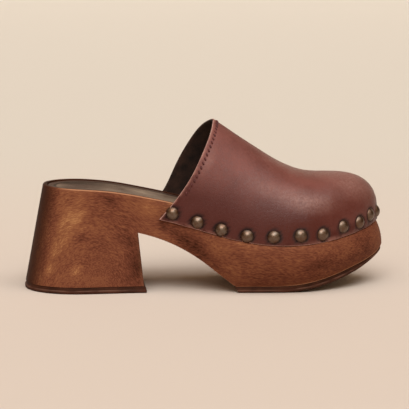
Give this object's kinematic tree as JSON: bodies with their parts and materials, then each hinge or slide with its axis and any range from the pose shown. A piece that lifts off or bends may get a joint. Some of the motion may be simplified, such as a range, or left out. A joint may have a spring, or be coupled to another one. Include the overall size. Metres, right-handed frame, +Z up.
{
  "type": "platform clog mule",
  "caption": "Backless platform shoe: a carved wooden sole with a flared block heel, a closed-toe leather upper held by domed studs, an insole and rubber treads.",
  "frame": {"origin": "middle of the bounding box on the floor, under the shank", "axes": "+X from heel to toe, +Y towards the inner side of the foot, +Z up from the floor"},
  "size_m": [0.25, 0.0973, 0.1158],
  "materials": {
    "stained_wood": "stained walnut brown, waxed",
    "dark_rubber": "dark brown, matt",
    "insole_leather": "taupe, smooth",
    "burgundy_leather": "oxblood brown, soft sheen",
    "antique_brass": "antiqued, satin"
  },
  "bodies": {
    "root": {"wood_sole": "stained_wood", "heel_tip": "dark_rubber", "forefoot_outsole": "dark_rubber", "insole": "insole_leather", "upper": "burgundy_leather", "stud_01": "antique_brass", "stud_02": "antique_brass", "stud_03": "antique_brass", "stud_04": "antique_brass", "stud_05": "antique_brass", "stud_06": "antique_brass", "stud_07": "antique_brass", "stud_08": "antique_brass", "stud_09": "antique_brass", "stud_10": "antique_brass", "stud_11": "antique_brass", "stud_12": "antique_brass", "stud_13": "antique_brass", "stud_14": "antique_brass", "stud_15": "antique_brass", "stud_16": "antique_brass", "stud_17": "antique_brass", "stud_18": "antique_brass", "stud_19": "antique_brass", "stud_20": "antique_brass", "stud_21": "antique_brass"}
  },
  "joints": []
}
